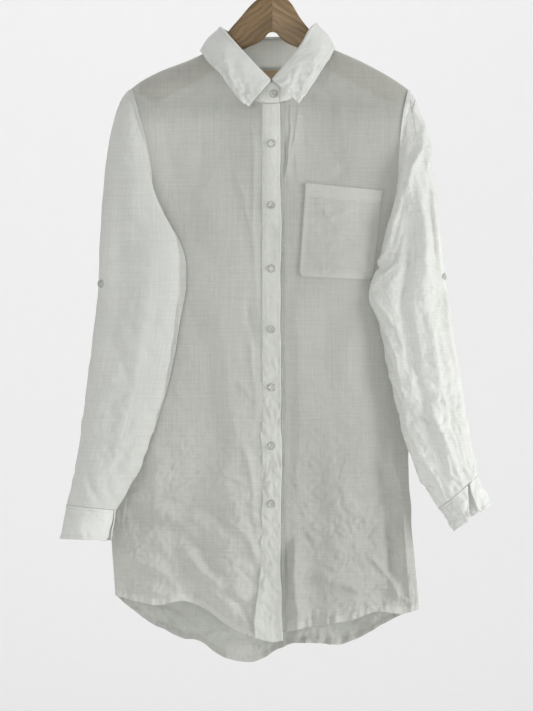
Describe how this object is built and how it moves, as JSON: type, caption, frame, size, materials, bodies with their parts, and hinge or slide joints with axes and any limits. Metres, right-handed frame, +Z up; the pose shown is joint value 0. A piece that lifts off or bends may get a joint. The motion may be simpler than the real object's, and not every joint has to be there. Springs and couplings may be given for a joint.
{
  "type": "linen shirt dress on a wooden hanger",
  "caption": "Long-sleeved shirt dress of thin linen with a pointed collar, front button band, chest pocket and curved hem, hung on a wooden hanger.",
  "frame": {"origin": "inside top of the hanger's hook, where a rail carries it", "axes": "+Z up, -Y out of the front of the dress, +X towards the wearer's left, which is the viewer's right from the front"},
  "size_m": [0.6144, 0.1276, 1.0368],
  "materials": {
    "linen": "sheer plain-woven linen, matt",
    "label": "woven tape, matt",
    "pearl": "pearly, slightly translucent",
    "wood": "thin clear varnish",
    "hook_metal": "bright wire"
  },
  "bodies": {
    "root": {"front_right": "linen", "front_left": "linen", "yoke": "linen", "back": "linen", "placket_over": "linen", "placket_under": "linen", "collar_stand": "linen", "collar_leaf": "linen", "pocket": "linen", "sleeve_right": "linen", "sleeve_left": "linen", "cuff_right": "linen", "cuff_left": "linen", "neck_label": "label", "button_stand": "pearl", "button_1": "pearl", "button_2": "pearl", "button_3": "pearl", "button_4": "pearl", "button_5": "pearl", "button_6": "pearl", "button_7": "pearl", "roll_button_right": "pearl", "roll_button_left": "pearl", "hanger_right": "wood", "hanger_left": "wood", "hook": "hook_metal"}
  },
  "joints": []
}
